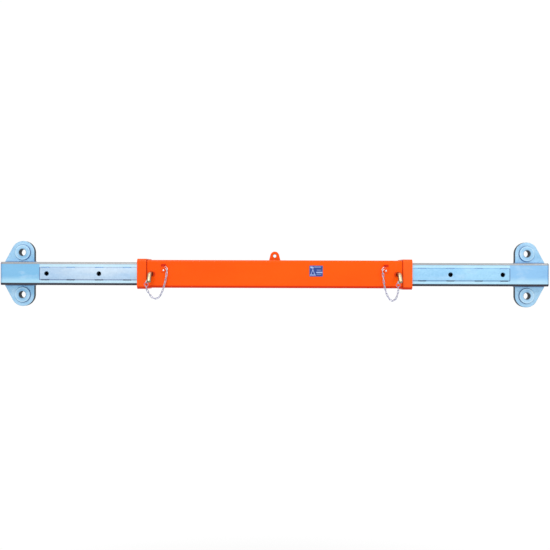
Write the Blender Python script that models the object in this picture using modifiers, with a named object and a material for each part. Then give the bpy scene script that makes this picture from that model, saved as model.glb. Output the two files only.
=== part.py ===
"""Telescopic spreader beam, about 2.36 m long with both arms drawn out.

A square outer tube carries a square arm in each end. The arms slide along X and are locked by bent pins
that pass through the outer tube's front wall. Each arm ends in an upper and a lower eye plate for shackles.
The origin is on the beam's axis at mid length. X runs along the beam, the front faces -Y and Z is up.
Units are metres.
"""
import math

import bmesh
import bpy
from mathutils import Matrix, Vector

# Outer tube and its collars
TUBE_SIDE = 0.120
TUBE_WALL = 0.005
TUBE_CORNER = 0.010
TUBE_LENGTH = 1.180
COLLAR_WIDTH = 0.040
COLLAR_THICKNESS = 0.005

# Arms
ARM_SIDE = 0.100
ARM_WALL = 0.005
ARM_CORNER = 0.008
ARM_INNER_END = 0.456
ARM_OUTER_END = 1.1742
CAP_THICKNESS = 0.0055
STRIP_WIDTH = 0.050
STRIP_THICKNESS = 0.004
LONG_STRIP_OUTER_END = 1.010
SHORT_STRIP_OUTER_END = 0.584
STRIP_SETBACK = 0.004

# Pin holes: three stations on each arm, one in each end of the outer tube
PIN_STATION = 0.531
HOLE_PITCH = 0.225
HOLE_COUNT = 3
HOLE_DIAMETER = 0.020

# Eye plates and their bosses
EYE_X = 1.100
EYE_Z = 0.092
EYE_PLATE_THICKNESS = 0.020
EYE_PLATE_RADIUS = 0.050
EYE_HOLE_DIAMETER = 0.030
BOSS_DIAMETER = 0.066
BOSS_THICKNESS = 0.006

# Small lug on top of the outer tube
LUG_BASE_HALF = 0.025
LUG_HOLE_Z = 0.0795
LUG_RADIUS = 0.0195
LUG_THICKNESS = 0.012
LUG_HOLE_DIAMETER = 0.014

# Rating label on the front face
LABEL_X = 0.1775
LABEL_Z = 0.0140
LABEL_WIDTH = 0.058
LABEL_HEIGHT = 0.047
LABEL_THICKNESS = 0.0008
LABEL_CORNER = 0.003

# Locking pins, drawn back until the tip just clears the arm
PIN_DIAMETER = 0.018
PIN_TIP_Y = -0.0553
PIN_BEND_Y = -0.0750
PIN_BEND_RADIUS = 0.016
PIN_BEND_ANGLE = math.radians(60)
PIN_HANDLE_LENGTH = 0.0293
PIN_CHAMFER = 0.002

# Loop welded to the side of each handle, and the ring that hangs in it
LOOP_WIRE = 0.0025
LOOP_HALF_WIDTH = 0.0038
LOOP_HALF_LENGTH = 0.0066
RING_RADIUS = 0.0082
RING_WIRE = 0.0022

# Brackets that hold the chains' upper ends
BRACKET_X = 0.469
BRACKET_THICKNESS = 0.0025
BRACKET_FOOT_WIDTH = 0.020
BRACKET_LOW_Z = 0.007
BRACKET_HIGH_Z = 0.042
BRACKET_EAR_LOW_Z = 0.0225
BRACKET_EAR_REACH = 0.014
LINK_HOLE_Z = 0.0330
LINK_HOLE_DEPTH = 0.0082
LINK_HOLE_DIAMETER = 0.0075
RIVET_X = 0.4767
RIVET_Z = 0.0155
RIVET_HEAD_RADIUS = 0.0042
RIVET_HEAD_HEIGHT = 0.0022
RIVET_SHANK_RADIUS = 0.0020

# Pin chains: the tube that stands for the links, and each route from the ring up to the bracket
CHAIN_WIDTH = 0.0095
LEFT_CHAIN_ROUTE = [
    (-0.5416, -0.1056, -0.0562), (-0.5400, -0.1046, -0.0640), (-0.5338, -0.1013, -0.0775),
    (-0.5252, -0.0974, -0.0915), (-0.5150, -0.0925, -0.1024), (-0.5020, -0.0866, -0.1060),
    (-0.4902, -0.0814, -0.0976), (-0.4822, -0.0780, -0.0831), (-0.4756, -0.0753, -0.0652),
    (-0.4700, -0.0733, -0.0438), (-0.4655, -0.0718, -0.0243), (-0.4626, -0.0706, -0.0063),
    (-0.4606, -0.0696, 0.0085), (-0.4596, -0.0689, 0.0165), (-0.4612, -0.0686, 0.0218),
]
RIGHT_CHAIN_ROUTE = [
    (0.5205, -0.1056, -0.0562), (0.5212, -0.1046, -0.0640), (0.5206, -0.1012, -0.0770),
    (0.5170, -0.0974, -0.0926), (0.5108, -0.0928, -0.1062), (0.4997, -0.0872, -0.1122),
    (0.4890, -0.0822, -0.1052), (0.4810, -0.0786, -0.0920), (0.4748, -0.0758, -0.0760),
    (0.4700, -0.0736, -0.0570), (0.4664, -0.0720, -0.0357), (0.4638, -0.0708, -0.0114),
    (0.4616, -0.0696, 0.0075), (0.4600, -0.0689, 0.0165), (0.4612, -0.0686, 0.0218),
]
CHAIN_POINTS = 30

# Distance kept between pieces that touch on the real beam
GAP = 0.0003
SIDES = (("left", -1), ("right", 1))
LEVELS = (("upper", 1), ("lower", -1))
CORNER_STEPS = 5
ROUND_STEPS = 40
FACING_FRONT = Matrix.Rotation(math.radians(90), 4, "X")
ALONG_X = Matrix.Rotation(math.radians(90), 4, "Z") @ Matrix.Rotation(math.radians(90), 4, "X")

COLOURS = {
    "orange_paint": ((0.95, 0.13, 0.01), 0.35, 0.0),
    "galvanised": ((0.42, 0.58, 0.70), 0.45, 0.7),
    "zinc_yellow": ((0.80, 0.76, 0.52), 0.30, 0.8),
    "steel_chain": ((0.62, 0.63, 0.66), 0.30, 0.9),
    "rivet": ((0.85, 0.85, 0.86), 0.25, 0.9),
    "label_blue": ((0.06, 0.14, 0.42), 0.40, 0.0),
}


def clear_scene():
    """Remove every object and leave the collections for the parts and the cutters."""
    for thing in list(bpy.data.objects):
        bpy.data.objects.remove(thing, do_unlink=True)
    folders = {}
    for name in ("spreader_beam", "cutters"):
        folders[name] = bpy.data.collections.new(name)
        bpy.context.scene.collection.children.link(folders[name])
    return folders


def make_materials():
    """One Principled material for each finish."""
    made = {}
    for name, (colour, roughness, metallic) in COLOURS.items():
        material = bpy.data.materials.new(name)
        material.use_nodes = True
        shader = material.node_tree.nodes["Principled BSDF"]
        shader.inputs["Base Color"].default_value = (*colour, 1.0)
        shader.inputs["Roughness"].default_value = roughness
        shader.inputs["Metallic"].default_value = metallic
        made[name] = material
    return made


FOLDERS = clear_scene()
FINISHES = make_materials()


def add_object(name, data, finish, place=None):
    """Link an object into the beam's collection, at its place, in its finish."""
    made = bpy.data.objects.new(name, data)
    made.matrix_world = place or Matrix.Identity(4)
    made.data.materials.append(FINISHES[finish])
    FOLDERS["spreader_beam"].objects.link(made)
    return made


def as_mesh(curve_object):
    """Turn a curve object into a closed mesh object of the same name and place."""
    bpy.context.view_layer.update()
    depsgraph = bpy.context.evaluated_depsgraph_get()
    mesh = bpy.data.meshes.new_from_object(curve_object.evaluated_get(depsgraph))
    work = bmesh.new()
    work.from_mesh(mesh)
    bmesh.ops.remove_doubles(work, verts=work.verts, dist=1e-6)
    bmesh.ops.recalc_face_normals(work, faces=work.faces)
    work.to_mesh(mesh)
    work.free()
    name = curve_object.name
    place = curve_object.matrix_world.copy()
    bpy.data.objects.remove(curve_object, do_unlink=True)
    made = bpy.data.objects.new(name, mesh)
    made.matrix_world = place
    FOLDERS["spreader_beam"].objects.link(made)
    return made


def extruded(name, outlines, thickness, finish, place):
    """Extrude flat outlines, the first outside and the others holes, by a thickness about their plane."""
    curve = bpy.data.curves.new(name, "CURVE")
    curve.dimensions = "2D"
    curve.fill_mode = "BOTH"
    curve.extrude = thickness / 2
    for outline in outlines:
        spline = curve.splines.new("POLY")
        spline.points.add(len(outline) - 1)
        for point, (x, y) in zip(spline.points, outline):
            point.co = (x, y, 0.0, 1.0)
        spline.use_cyclic_u = True
    return as_mesh(add_object(name, curve, finish, place))


def tube_along(name, points, diameter, finish, sides, cyclic=False, scales=None):
    """A round bar that follows points, with flat ends; scales thin it at chosen points."""
    curve = bpy.data.curves.new(name, "CURVE")
    curve.dimensions = "3D"
    curve.bevel_depth = diameter / 2
    curve.bevel_resolution = sides // 2 - 2
    curve.use_fill_caps = not cyclic
    spline = curve.splines.new("POLY")
    spline.points.add(len(points) - 1)
    for index, place in enumerate(points):
        spline.points[index].co = (*place, 1.0)
        spline.points[index].radius = scales[index] if scales else 1.0
    spline.use_cyclic_u = cyclic
    return as_mesh(add_object(name, curve, finish))


def arc(centre, radius, start, end, steps):
    """Points on an arc, with angles in degrees counted from the first axis."""
    angles = [math.radians(start + (end - start) * i / steps) for i in range(steps + 1)]
    return [(centre[0] + radius * math.cos(a), centre[1] + radius * math.sin(a)) for a in angles]


def circle(centre, radius, steps=ROUND_STEPS):
    """A closed round outline."""
    return arc(centre, radius, 0, 360, steps)[:-1]


def rounded_rectangle(width, height, radius, centre=(0.0, 0.0)):
    """A closed rectangle with round corners."""
    across = width / 2 - radius
    up = height / 2 - radius
    corners = ((across, up, 0), (-across, up, 90), (-across, -up, 180), (across, -up, 270))
    outline = []
    for x, y, start in corners:
        place = (centre[0] + x, centre[1] + y)
        outline += arc(place, radius, start, start + 90, CORNER_STEPS)
    return outline


def bore_along_y(target, x, z, diameter, low_y, high_y):
    """Cut a round hole that runs along Y between two depths."""
    mesh = bpy.data.meshes.new(target.name + "_cutter")
    work = bmesh.new()
    place = Matrix.Translation((x, (low_y + high_y) / 2, z)) @ FACING_FRONT
    bmesh.ops.create_cone(work, cap_ends=True, segments=32, radius1=diameter / 2, radius2=diameter / 2,
                          depth=high_y - low_y, matrix=place)
    work.to_mesh(mesh)
    work.free()
    cutter = bpy.data.objects.new(target.name + "_cutter", mesh)
    subtract(target, cutter)


def subtract(target, cutter):
    """Hide a cutter and take its volume out of the target."""
    FOLDERS["cutters"].objects.link(cutter)
    cutter.hide_render = True
    cutter.display_type = "WIRE"
    boolean = target.modifiers.new("cut_" + cutter.name, "BOOLEAN")
    boolean.operation = "DIFFERENCE"
    boolean.solver = "EXACT"
    boolean.object = cutter


def box_between(low, high):
    """A mesh box between two corners."""
    low = Vector(low)
    high = Vector(high)
    work = bmesh.new()
    place = Matrix.Translation((low + high) / 2) @ Matrix.Diagonal((*(high - low), 1.0))
    bmesh.ops.create_cube(work, size=1.0, matrix=place)
    return work


def outer_tube():
    """The painted tube with a pin hole near each end of its front wall."""
    inner_side = TUBE_SIDE - 2 * TUBE_WALL
    outlines = [
        rounded_rectangle(TUBE_SIDE, TUBE_SIDE, TUBE_CORNER),
        rounded_rectangle(inner_side, inner_side, TUBE_CORNER - TUBE_WALL),
    ]
    tube = extruded("outer_tube", outlines, TUBE_LENGTH, "orange_paint", ALONG_X)
    front = -TUBE_SIDE / 2
    for _, sign in SIDES:
        bore_along_y(tube, sign * PIN_STATION, 0.0, HOLE_DIAMETER, front - 0.01, front + 2 * TUBE_WALL)


def collars():
    """A flat bar ring round each end of the outer tube."""
    inside = TUBE_SIDE + 2 * GAP
    outside = TUBE_SIDE + 2 * COLLAR_THICKNESS
    outlines = [
        rounded_rectangle(outside, outside, TUBE_CORNER + COLLAR_THICKNESS),
        rounded_rectangle(inside, inside, TUBE_CORNER + GAP),
    ]
    for side, sign in SIDES:
        middle = sign * (TUBE_LENGTH - COLLAR_WIDTH) / 2
        place = Matrix.Translation((middle, 0.0, 0.0)) @ ALONG_X
        extruded(f"collar_{side}", outlines, COLLAR_WIDTH, "orange_paint", place)


def tangent_angle(corner, centre, radius):
    """Angle in degrees, at the circle's centre, of the point where a line from the corner touches it."""
    away = Vector(corner) - Vector(centre)
    return math.degrees(math.atan2(away.y, away.x) + math.acos(radius / away.length))


def handling_lug():
    """The small eye plate on top of the outer tube."""
    base_z = TUBE_SIDE / 2 + GAP
    centre = (0.0, LUG_HOLE_Z)
    touch = tangent_angle((LUG_BASE_HALF, base_z), centre, LUG_RADIUS)
    outline = [(-LUG_BASE_HALF, base_z), (LUG_BASE_HALF, base_z)]
    outline += arc(centre, LUG_RADIUS, touch, 180 - touch, 16)
    hole = circle(centre, LUG_HOLE_DIAMETER / 2, 24)
    extruded("handling_lug", [outline, hole], LUG_THICKNESS, "orange_paint", FACING_FRONT)


def rating_label():
    """The thin label plate on the front face."""
    outline = rounded_rectangle(LABEL_WIDTH, LABEL_HEIGHT, LABEL_CORNER, (LABEL_X, LABEL_Z))
    front = -TUBE_SIDE / 2 - GAP - LABEL_THICKNESS / 2
    place = Matrix.Translation((0.0, front, 0.0)) @ FACING_FRONT
    extruded("rating_label", [outline], LABEL_THICKNESS, "label_blue", place)


def chain_brackets():
    """Riveted angle brackets whose ears hold the chains' upper links."""
    face = -TUBE_SIDE / 2 - GAP
    for side, sign in SIDES:
        inboard = sign * (BRACKET_X - BRACKET_THICKNESS / 2)
        outboard = inboard + sign * BRACKET_FOOT_WIDTH
        ear_outer = inboard + sign * BRACKET_THICKNESS
        foot = box_between(
            (min(inboard, outboard), face - BRACKET_THICKNESS, BRACKET_LOW_Z),
            (max(inboard, outboard), face, BRACKET_HIGH_Z),
        )
        ear = box_between(
            (min(inboard, ear_outer), face - BRACKET_EAR_REACH, BRACKET_EAR_LOW_Z),
            (max(inboard, ear_outer), face - BRACKET_THICKNESS / 2, BRACKET_HIGH_Z),
        )
        bracket = mesh_object(f"chain_bracket_{side}", foot, "orange_paint")
        join(bracket, ear)
        bore_along_y(bracket, sign * RIVET_X, RIVET_Z, 2 * (RIVET_SHANK_RADIUS + GAP), face - 0.01, face + 0.01)
        bore_across(bracket, sign * BRACKET_X, face - LINK_HOLE_DEPTH, LINK_HOLE_Z)


def mesh_object(name, work, finish):
    """A part made from an edit mesh."""
    mesh = bpy.data.meshes.new(name)
    work.to_mesh(mesh)
    work.free()
    return add_object(name, mesh, finish)


def join(target, work):
    """Join an edit mesh to the target with a union."""
    mesh = bpy.data.meshes.new(target.name + "_joined")
    work.to_mesh(mesh)
    work.free()
    piece = bpy.data.objects.new(target.name + "_joined", mesh)
    FOLDERS["cutters"].objects.link(piece)
    piece.hide_render = True
    piece.display_type = "WIRE"
    boolean = target.modifiers.new("join", "BOOLEAN")
    boolean.operation = "UNION"
    boolean.solver = "EXACT"
    boolean.object = piece


def bore_across(target, x, y, z):
    """Cut the link hole through a bracket's ear, along X."""
    mesh = bpy.data.meshes.new(target.name + "_link_hole")
    work = bmesh.new()
    place = Matrix.Translation((x, y, z)) @ Matrix.Rotation(math.radians(90), 4, "Y")
    bmesh.ops.create_cone(work, cap_ends=True, segments=20, radius1=LINK_HOLE_DIAMETER / 2,
                          radius2=LINK_HOLE_DIAMETER / 2, depth=4 * BRACKET_THICKNESS, matrix=place)
    work.to_mesh(mesh)
    work.free()
    subtract(target, bpy.data.objects.new(target.name + "_link_hole", mesh))


def bracket_rivets():
    """Dome-headed rivets turned about Y, each sitting in its bracket's foot."""
    seat = -TUBE_SIDE / 2 - 2 * GAP - BRACKET_THICKNESS
    for side, sign in SIDES:
        profile = [(0.0, 0.0)]
        profile += [(r, RIVET_HEAD_HEIGHT * math.sqrt(1 - (r / RIVET_HEAD_RADIUS) ** 2) - RIVET_HEAD_HEIGHT)
                    for r in [RIVET_HEAD_RADIUS * i / 5 for i in range(1, 6)]]
        profile += [(RIVET_SHANK_RADIUS, -RIVET_HEAD_HEIGHT)]
        profile += [(RIVET_SHANK_RADIUS, -RIVET_HEAD_HEIGHT - BRACKET_THICKNESS)]
        profile += [(0.0, -RIVET_HEAD_HEIGHT - BRACKET_THICKNESS)]
        place = Matrix.Translation((sign * RIVET_X, seat - RIVET_HEAD_HEIGHT, RIVET_Z)) @ FACING_FRONT
        turned(f"bracket_rivet_{side}", profile, "rivet", place)


def turned(name, profile, finish, place, steps=20):
    """Turn a profile of (radius, height) points, listed top to bottom, about its own Z."""
    mesh = bpy.data.meshes.new(name)
    edges = [(i, i + 1) for i in range(len(profile) - 1)]
    mesh.from_pydata([(r, 0.0, h) for r, h in profile], edges, [])
    made = add_object(name, mesh, finish, place)
    screw = made.modifiers.new("turn", "SCREW")
    screw.axis = "Z"
    screw.steps = steps
    screw.render_steps = steps
    screw.use_merge_vertices = True
    screw.merge_threshold = 0.00001
    return made


def arm_tubes():
    """The sliding arms, with their pin holes in the front wall."""
    inner_side = ARM_SIDE - 2 * ARM_WALL
    outlines = [
        rounded_rectangle(ARM_SIDE, ARM_SIDE, ARM_CORNER),
        rounded_rectangle(inner_side, inner_side, ARM_CORNER - ARM_WALL),
    ]
    front = -ARM_SIDE / 2
    for side, sign in SIDES:
        middle = sign * (ARM_INNER_END + ARM_OUTER_END) / 2
        place = Matrix.Translation((middle, 0.0, 0.0)) @ ALONG_X
        arm = extruded(f"arm_tube_{side}", outlines, ARM_OUTER_END - ARM_INNER_END, "galvanised", place)
        for number in range(HOLE_COUNT):
            station = sign * (PIN_STATION + number * HOLE_PITCH)
            bore_along_y(arm, station, 0.0, HOLE_DIAMETER, front - 0.001 * (number + 5), front + 2 * ARM_WALL)


def arm_caps():
    """Plates that close the arms' outer ends."""
    outline = rounded_rectangle(ARM_SIDE, ARM_SIDE, ARM_CORNER)
    for side, sign in SIDES:
        middle = sign * (ARM_OUTER_END + GAP + CAP_THICKNESS / 2)
        place = Matrix.Translation((middle, 0.0, 0.0)) @ ALONG_X
        extruded(f"arm_cap_{side}", [outline], CAP_THICKNESS, "galvanised", place)


def guide_strips():
    """Flat bars on the arms: long ones in front, with the pin holes, and behind; short ones above and below."""
    inner = ARM_INNER_END + STRIP_SETBACK
    reach = {"front": LONG_STRIP_OUTER_END, "back": LONG_STRIP_OUTER_END,
             "top": SHORT_STRIP_OUTER_END, "bottom": SHORT_STRIP_OUTER_END}
    turn = {"front": 0, "top": -90, "back": 180, "bottom": 90}
    offset = ARM_SIDE / 2 + GAP + STRIP_THICKNESS / 2
    for side, sign in SIDES:
        for face, outer in reach.items():
            outline = rounded_rectangle(outer - inner, STRIP_WIDTH, 0.004)
            place = (Matrix.Rotation(math.radians(turn[face]), 4, "X")
                     @ Matrix.Translation((sign * (inner + outer) / 2, -offset, 0.0)) @ FACING_FRONT)
            strip = extruded(f"strip_{face}_{side}", [outline], STRIP_THICKNESS, "galvanised", place)
            if face == "front":
                for number in range(HOLE_COUNT):
                    station = sign * (PIN_STATION + number * HOLE_PITCH)
                    bore_along_y(strip, station, 0.0, HOLE_DIAMETER, -offset - 0.01, -offset + 0.01)


def eye_plates():
    """The lug plates above and below each arm's end, round at the eye and sloping to the arm's end."""
    base_z = ARM_SIDE / 2 + GAP
    outer = ARM_OUTER_END + CAP_THICKNESS
    centre = (EYE_X, EYE_Z)
    touch = tangent_angle((outer, base_z), centre, EYE_PLATE_RADIUS)
    outline = [(EYE_X - EYE_PLATE_RADIUS, base_z), (outer, base_z)]
    outline += arc(centre, EYE_PLATE_RADIUS, touch, 180, 24)
    hole = circle(centre, EYE_HOLE_DIAMETER / 2)
    for side, sign in SIDES:
        for level, up in LEVELS:
            plate = [(sign * x, up * z) for x, z in outline]
            eye = [(sign * x, up * z) for x, z in hole]
            extruded(f"eye_plate_{level}_{side}", [plate, eye], EYE_PLATE_THICKNESS, "galvanised", FACING_FRONT)


def eye_bosses():
    """Round cheek plates on both sides of each eye plate."""
    offset = EYE_PLATE_THICKNESS / 2 + GAP + BOSS_THICKNESS / 2
    for side, sign in SIDES:
        for level, up in LEVELS:
            centre = (sign * EYE_X, up * EYE_Z)
            outlines = [circle(centre, BOSS_DIAMETER / 2), circle(centre, EYE_HOLE_DIAMETER / 2)]
            for face, depth in (("front", -offset), ("back", offset)):
                place = Matrix.Translation((0.0, depth, 0.0)) @ FACING_FRONT
                extruded(f"boss_{face}_{level}_{side}", outlines, BOSS_THICKNESS, "galvanised", place)


def handle_direction():
    """Unit vector down the handle, away from the bend."""
    return Vector((0.0, -math.cos(PIN_BEND_ANGLE), -math.sin(PIN_BEND_ANGLE)))


def handle_end(x):
    """Centre of the handle's end face, worked out from the bend."""
    bend_y = PIN_BEND_Y - PIN_BEND_RADIUS * math.sin(PIN_BEND_ANGLE)
    bend_z = -PIN_BEND_RADIUS * (1 - math.cos(PIN_BEND_ANGLE))
    return Vector((x, bend_y, bend_z)) + PIN_HANDLE_LENGTH * handle_direction()


def locking_pins():
    """Round bars bent into a handle, with a chamfered tip."""
    for side, sign in SIDES:
        x = sign * PIN_STATION
        points = [(x, PIN_TIP_Y, 0.0), (x, PIN_TIP_Y - PIN_CHAMFER, 0.0), (x, PIN_BEND_Y + 0.005, 0.0)]
        for step in range(9):
            angle = PIN_BEND_ANGLE * step / 8
            points.append((x, PIN_BEND_Y - PIN_BEND_RADIUS * math.sin(angle),
                           -PIN_BEND_RADIUS * (1 - math.cos(angle))))
        end = handle_end(x)
        points.append(end - 0.001 * handle_direction())
        points.append(end)
        thin = 1 - PIN_CHAMFER / PIN_DIAMETER
        scales = [thin] + [1.0] * (len(points) - 2) + [0.9]
        tube_along(f"locking_pin_{side}", points, PIN_DIAMETER, "zinc_yellow", 24, scales=scales)


def loop_centre(x):
    """Centre of the loop welded to the handle's left side, level with the handle's end."""
    return handle_end(x) - Vector((PIN_DIAMETER / 2 + LOOP_WIRE / 2 + GAP, 0.0, 0.0))


def pin_loops():
    """Oval wire loops flat against the handles' sides."""
    down = handle_direction()
    across = Vector((1.0, 0.0, 0.0)).cross(down)
    for side, sign in SIDES:
        centre = loop_centre(sign * PIN_STATION)
        straight = LOOP_HALF_LENGTH - LOOP_HALF_WIDTH
        outline = arc((straight, 0.0), LOOP_HALF_WIDTH, -90, 90, 8)
        outline += arc((-straight, 0.0), LOOP_HALF_WIDTH, 90, 270, 8)
        points = [centre + u * down + v * across for u, v in outline]
        tube_along(f"pin_loop_{side}", points, LOOP_WIRE, "steel_chain", 10, cyclic=True)


def pin_rings():
    """Wire rings that hang in the loops and carry the chains."""
    drop = LOOP_HALF_LENGTH - LOOP_WIRE / 2 - RING_WIRE / 2 - GAP
    for side, sign in SIDES:
        top = loop_centre(sign * PIN_STATION) + drop * handle_direction()
        centre = top - Vector((0.0, 0.0, RING_RADIUS))
        points = [centre + Vector((x, 0.0, z)) for x, z in circle((0.0, 0.0), RING_RADIUS, 28)]
        tube_along(f"pin_ring_{side}", points, RING_WIRE, "steel_chain", 8, cyclic=True)


def smooth_route(route, count):
    """Evenly spaced points on a Catmull-Rom curve through a route."""
    knots = [Vector(place) for place in route]
    knots = [2 * knots[0] - knots[1]] + knots + [2 * knots[-1] - knots[-2]]
    fine = []
    for p0, p1, p2, p3 in zip(knots, knots[1:], knots[2:], knots[3:]):
        for step in range(20):
            t = step / 20
            fine.append(0.5 * (2 * p1 + (p2 - p0) * t + (2 * p0 - 5 * p1 + 4 * p2 - p3) * t ** 2
                               + (3 * p1 - p0 - 3 * p2 + p3) * t ** 3))
    fine.append(knots[-2])
    lengths = [0.0]
    for before, after in zip(fine, fine[1:]):
        lengths.append(lengths[-1] + (after - before).length)
    spaced = []
    index = 0
    for number in range(count):
        wanted = lengths[-1] * number / (count - 1)
        while index < len(lengths) - 2 and lengths[index + 1] < wanted:
            index += 1
        share = (wanted - lengths[index]) / (lengths[index + 1] - lengths[index])
        spaced.append(fine[index].lerp(fine[index + 1], share))
    print(f"route length {lengths[-1]:.4f} m")
    return spaced


def chains():
    """Tubes of the chains' outer width, from each ring up to its bracket."""
    for (side, _), route in zip(SIDES, (LEFT_CHAIN_ROUTE, RIGHT_CHAIN_ROUTE)):
        tube_along(f"chain_{side}", smooth_route(route, CHAIN_POINTS), CHAIN_WIDTH, "steel_chain", 8)


def shade_round_pieces():
    """Smooth shading that keeps edges over 35 degrees sharp."""
    for made in FOLDERS["spreader_beam"].objects:
        made.data.shade_smooth()
        made.data.set_sharp_from_angle(angle=math.radians(35))


outer_tube()
collars()
handling_lug()
rating_label()
chain_brackets()
bracket_rivets()
arm_tubes()
arm_caps()
guide_strips()
eye_plates()
eye_bosses()
locking_pins()
pin_loops()
pin_rings()
chains()
shade_round_pieces()
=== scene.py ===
# %% [markdown]
# # A telescopic spreader beam
# A spreader beam hangs from two sling legs and holds a load from two points that are set apart. This one is a
# painted square tube with a galvanised square arm sliding in each end. A bent pin locks each arm, and a short
# chain keeps the pin from getting lost. The bodies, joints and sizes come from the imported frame. This lesson
# gives each piece its fine shape and its finish.

# %% Load the frame and keep its box
import math

import bmesh
import bpy
import numpy as np
from mathutils import Matrix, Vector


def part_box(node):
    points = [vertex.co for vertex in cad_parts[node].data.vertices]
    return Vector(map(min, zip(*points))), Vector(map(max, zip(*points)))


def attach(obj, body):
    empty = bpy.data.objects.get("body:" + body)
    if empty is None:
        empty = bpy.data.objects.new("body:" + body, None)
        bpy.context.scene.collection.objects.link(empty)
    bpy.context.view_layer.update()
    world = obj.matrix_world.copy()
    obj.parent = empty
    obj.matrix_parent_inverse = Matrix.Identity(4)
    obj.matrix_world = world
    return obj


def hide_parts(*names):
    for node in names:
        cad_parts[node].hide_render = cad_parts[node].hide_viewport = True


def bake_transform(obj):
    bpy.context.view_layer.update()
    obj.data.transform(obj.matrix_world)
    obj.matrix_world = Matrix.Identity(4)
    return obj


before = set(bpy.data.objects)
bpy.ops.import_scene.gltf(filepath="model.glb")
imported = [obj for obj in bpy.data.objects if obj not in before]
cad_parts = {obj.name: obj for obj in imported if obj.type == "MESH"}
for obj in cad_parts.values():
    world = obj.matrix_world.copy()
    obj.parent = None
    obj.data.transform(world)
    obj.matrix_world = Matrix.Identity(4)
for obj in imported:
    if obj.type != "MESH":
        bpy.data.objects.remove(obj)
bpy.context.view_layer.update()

SIDES = (("left", -1), ("right", 1))
LEVELS = (("upper", 1), ("lower", -1))
UP = np.array([0.0, 0.0, 1.0])
TUBE_HALF = 0.060
COLLAR_HALF = 0.065
ARM_HALF = 0.050
STRIP_END = 1.010
PIN_STATION = 0.531
HOLE_PITCH = 0.225
PIN_HOLE = 0.010
EYE = (1.100, 0.092)
EYE_HOLE = 0.015
SMALL_EYE = (0.0, 0.0795)
SUPPORT = 0.0004
TUBE_FRONT = np.array([0.0, -TUBE_HALF, 0.0])

# %% [markdown]
# ## The camera
# A long, slim object is drawn with little perspective, so the camera stands well back, square to the front
# face and level with the beam's axis. A matrix built from three directions says exactly how the camera is
# turned, which is easier to check than three angles. It is rolled by a very small angle, so that the beam
# lies slightly tilted in view.

# %% Camera
CAMERA_PLACE = np.array([0.0013, -2.70, -0.0035])
CAMERA_ROLL = math.radians(0.17)
lens = bpy.data.cameras.new("camera")
lens.lens = 40.3
lens.sensor_width = 36.0
camera = bpy.data.objects.new("camera", lens)
right = np.array([math.cos(CAMERA_ROLL), 0.0, math.sin(CAMERA_ROLL)])
up = np.array([-math.sin(CAMERA_ROLL), 0.0, math.cos(CAMERA_ROLL)])
turned = Matrix.Identity(4)
for row in range(3):
    turned[row][0] = right[row]
    turned[row][1] = up[row]
    turned[row][2] = (0.0, -1.0, 0.0)[row]
    turned[row][3] = CAMERA_PLACE[row]
camera.matrix_world = turned
bpy.context.scene.collection.objects.link(camera)
bpy.context.scene.camera = camera
bpy.context.scene.view_settings.view_transform = "Standard"
print("camera stands", -CAMERA_PLACE[1], "m in front of the beam's axis")

# %% [markdown]
# ## Light and floor
# Plain soft studio light: a pale room all round, one large soft lamp high in front and a weaker one on the
# other side. A beam in use hangs in the air, so the floor lies well below it. The room's light is a function
# of direction. It is full in front, behind and above, fades below the horizon, so that lower edges turn dark,
# and is weaker from the two sides, so that round bars and cut edges get a dark outline.


# %% Room light
def range_node(tree, low, high, at_low, at_high):
    """A Map Range node that takes low and high to the two values there."""
    node = tree.nodes.new("ShaderNodeMapRange")
    for name, value in (("From Min", low), ("From Max", high), ("To Min", at_low), ("To Max", at_high)):
        node.inputs[name].default_value = value
    return node


def make_room():
    """World light that eases to a low strength straight down, and to two thirds at both sides."""
    world = bpy.data.worlds.new("room")
    bpy.context.scene.world = world
    world.use_nodes = True
    tree = world.node_tree
    tree.nodes.clear()
    direction = tree.nodes.new("ShaderNodeTexCoord")
    split = tree.nodes.new("ShaderNodeSeparateXYZ")
    ramp = range_node(tree, -0.85, -0.38, 0.12, 1.02)
    sideways = tree.nodes.new("ShaderNodeMath")
    sideways.operation = "ABSOLUTE"
    sides = range_node(tree, 0.48, 0.85, 1.0, 0.65)
    sides.interpolation_type = "SMOOTHSTEP"
    strength = tree.nodes.new("ShaderNodeMath")
    strength.operation = "MULTIPLY"
    background = tree.nodes.new("ShaderNodeBackground")
    background.inputs["Color"].default_value = (1.0, 1.0, 1.0, 1.0)
    out = tree.nodes.new("ShaderNodeOutputWorld")
    link = tree.links.new
    link(direction.outputs["Generated"], split.inputs[0])
    link(split.outputs["Z"], ramp.inputs["Value"])
    link(split.outputs["X"], sideways.inputs[0])
    link(sideways.outputs[0], sides.inputs["Value"])
    link(ramp.outputs["Result"], strength.inputs[0])
    link(sides.outputs["Result"], strength.inputs[1])
    link(strength.outputs[0], background.inputs["Strength"])
    link(background.outputs[0], out.inputs[0])


def soft_lamp(name, place, aim, size, power):
    """A square area lamp at a place, turned to face an aim point."""
    lamp = bpy.data.lights.new(name, "AREA")
    lamp.size = size
    lamp.energy = power
    holder = bpy.data.objects.new(name, lamp)
    bpy.context.scene.collection.objects.link(holder)
    gaze = np.array(aim, float) - np.array(place, float)
    gaze /= np.linalg.norm(gaze)
    across = np.cross(gaze, (0.0, 0.0, 1.0))
    across /= np.linalg.norm(across)
    columns = np.column_stack([across, np.cross(across, gaze), -gaze, place])
    holder.matrix_world = Matrix([[*line] for line in columns] + [[0.0, 0.0, 0.0, 1.0]])


make_room()
soft_lamp("lamp_front", (-0.9, -2.4, 2.6), (0.0, 0.0, 0.0), 1.6, 40.0)
soft_lamp("lamp_right", (2.2, -1.6, 1.7), (0.4, 0.0, 0.0), 1.2, 12.0)
print("room light and two soft lamps")

# %% [markdown]
# ## Shader maths as plain expressions
# A procedural finish is a formula over the surface. Signal wraps one socket, so that adding or multiplying
# two signals adds the Math node that does it. Finish.grow adds any other node: its settings first, then its
# sockets. Colours are blended with a Mix node, because a Math node would turn a colour grey.


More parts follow.
